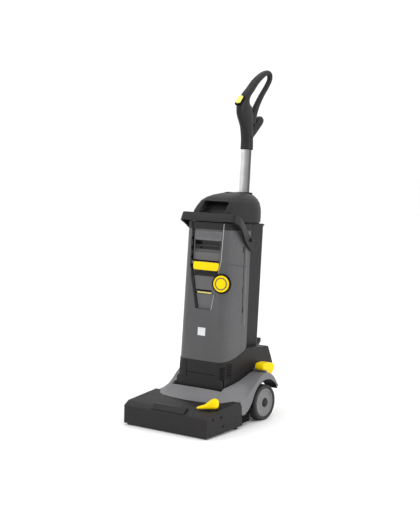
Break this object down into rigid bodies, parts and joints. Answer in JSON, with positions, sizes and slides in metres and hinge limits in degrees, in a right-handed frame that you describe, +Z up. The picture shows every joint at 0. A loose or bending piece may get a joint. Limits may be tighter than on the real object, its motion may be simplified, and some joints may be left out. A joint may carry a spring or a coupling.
{
  "type": "wet dry floor scrubber",
  "caption": "Upright compact floor scrubber: low roller-brush head on two wheels, leaning tank column with dome, and a tube handle with a loop grip.",
  "frame": {"origin": "on the floor under the middle of the machine's bounding box, in its mirror plane", "axes": "+Z up, -Y towards the front of the head, +X to the operator's right"},
  "size_m": [0.334, 0.5776, 1.1325],
  "materials": {
    "dark_plastic": "fine grain, satin",
    "grey_plastic": "satin",
    "yellow_plastic": "semi-gloss",
    "light_plastic": "natural",
    "lip_rubber": "matt",
    "tyre": "matt rubber",
    "bristle": "nylon filaments",
    "zinc_steel": "zinc plated",
    "aluminium": "anodised"
  },
  "bodies": {
    "chassis": {"brush_hood": "dark_plastic", "hood_flap": "dark_plastic", "front_suction_bar": "dark_plastic", "rear_suction_bar": "dark_plastic", "squeegee_lips": "lip_rubber", "suction_elbow": "dark_plastic", "water_bar": "dark_plastic", "chassis_pan": "dark_plastic", "axle": "zinc_steel", "axle_spacers": "dark_plastic", "shroud": "grey_plastic", "lever_pin": "zinc_steel", "pedal_pin": "zinc_steel", "pedal_spring": "zinc_steel", "brush_motor": "zinc_steel", "drive_belt": "lip_rubber"},
    "brush_plate": {"brush_plate": "dark_plastic", "plate_screws": "zinc_steel"},
    "brush": {"brush_core": "dark_plastic", "brush_bristles": "bristle"},
    "brush_drive": {"brush_pulley": "light_plastic"},
    "motor_rotor": {"motor_pulley": "zinc_steel"},
    "release_lever": {"release_lever": "yellow_plastic"},
    "tilt_pedal": {"tilt_pedal": "yellow_plastic"},
    "wheel_right": {"wheel_disc_right": "grey_plastic", "tyre_right": "tyre", "hub_cap_right": "dark_plastic"},
    "wheel_left": {"wheel_disc_left": "grey_plastic", "tyre_left": "tyre", "hub_cap_left": "dark_plastic"},
    "upright": {"lower_housing": "dark_plastic", "pivot_bracket": "dark_plastic", "fan_motor": "dark_plastic", "water_pump": "dark_plastic", "spine": "dark_plastic", "suction_riser": "dark_plastic", "guide_tube": "dark_plastic", "head_plate": "dark_plastic", "dome": "dark_plastic", "upper_cord_hook": "dark_plastic", "cord_gland": "dark_plastic"},
    "fan": {"fan_impeller": "light_plastic"},
    "cord_hook": {"lower_cord_hook": "dark_plastic"},
    "tank": {"fresh_water_tank": "grey_plastic", "dirty_water_tank": "grey_plastic", "tank_lid": "dark_plastic", "float_cage": "dark_plastic", "front_panel": "grey_plastic", "latch_pin": "zinc_steel", "carrying_handle": "dark_plastic", "handle_screws": "zinc_steel"},
    "float": {"tank_float": "light_plastic"},
    "tank_latch": {"tank_latch": "yellow_plastic"},
    "filler_cap": {"filler_cap": "yellow_plastic"},
    "handle": {"handle_tube": "aluminium", "grip_shell_right": "dark_plastic", "grip_shell_left": "dark_plastic", "grip_screws": "zinc_steel"},
    "switch": {"switch_rocker": "yellow_plastic"}
  },
  "joints": [
    {"name": "upright_tilt", "type": "hinge", "parent": "chassis", "child": "upright", "pos_m": [0, 0.0312, 0.058], "axis": [-1, 0, 0], "range_deg": [0, 45]},
    {"name": "wheel_right_spin", "type": "hinge", "parent": "chassis", "child": "wheel_right", "pos_m": [0.144, 0.0312, 0.058], "axis": [1, 0, 0], "continuous": true},
    {"name": "wheel_left_spin", "type": "hinge", "parent": "chassis", "child": "wheel_left", "pos_m": [-0.144, 0.0312, 0.058], "axis": [1, 0, 0], "continuous": true},
    {"name": "brush_plate_slide", "type": "slide", "parent": "chassis", "child": "brush_plate", "axis": [1, 0, 0], "range_m": [0, 0.3]},
    {"name": "brush_spin", "type": "hinge", "parent": "brush_plate", "child": "brush", "pos_m": [0, -0.2358, 0.033], "axis": [1, 0, 0], "continuous": true},
    {"name": "brush_drive_spin", "type": "hinge", "parent": "chassis", "child": "brush_drive", "pos_m": [-0.158, -0.2358, 0.033], "axis": [1, 0, 0], "continuous": true},
    {"name": "motor_spin", "type": "hinge", "parent": "chassis", "child": "motor_rotor", "pos_m": [-0.158, -0.1538, 0.051], "axis": [1, 0, 0], "continuous": true},
    {"name": "release_lever_turn", "type": "hinge", "parent": "chassis", "child": "release_lever", "pos_m": [0.138, -0.2268, 0.09], "axis": [0, 0, 1], "range_deg": [0, 60]},
    {"name": "tilt_pedal_press", "type": "hinge", "parent": "chassis", "child": "tilt_pedal", "pos_m": [0.129, 0.0512, 0.157], "axis": [-1, 0, 0], "range_deg": [0, 10], "stiffness_Nm_per_rad": 6},
    {"name": "fan_spin", "type": "hinge", "parent": "upright", "child": "fan", "pos_m": [0, -0.05086, 0.1756], "axis": [0, 0.0872, 0.9962], "continuous": true},
    {"name": "cord_hook_turn", "type": "hinge", "parent": "upright", "child": "cord_hook", "pos_m": [0, 0.16347, 0.19299], "axis": [0, 0.9962, -0.0872], "range_deg": [0, 180]},
    {"name": "tank_slide", "type": "slide", "parent": "upright", "child": "tank", "axis": [0, -0.9962, 0.0872], "range_m": [0, 0.16]},
    {"name": "float_lift", "type": "slide", "parent": "tank", "child": "float", "axis": [0, 0.0872, 0.9962], "range_m": [0, 0.03]},
    {"name": "tank_latch_pull", "type": "hinge", "parent": "tank", "child": "tank_latch", "pos_m": [0, -0.07509, 0.51249], "axis": [-1, 0, 0], "range_deg": [0, 18], "stiffness_Nm_per_rad": 0.6},
    {"name": "filler_cap_turn", "type": "hinge", "parent": "tank", "child": "filler_cap", "pos_m": [0.07, -0.08344, 0.45149], "axis": [0.2756, -0.9576, 0.0838], "range_deg": [0, 90]},
    {"name": "handle_slide", "type": "slide", "parent": "upright", "child": "handle", "axis": [0, 0.0872, 0.9962], "range_m": [-0.12, 0]},
    {"name": "switch_rock", "type": "hinge", "parent": "handle", "child": "switch", "pos_m": [0, 0.11714, 1.04025], "axis": [1, 0, 0], "range_deg": [-5, 5]}
  ],
  "couplings": [
    {"joint": "brush_drive_spin", "follows": "brush_spin", "ratio": 1},
    {"joint": "motor_spin", "follows": "brush_spin", "ratio": 2.2}
  ]
}
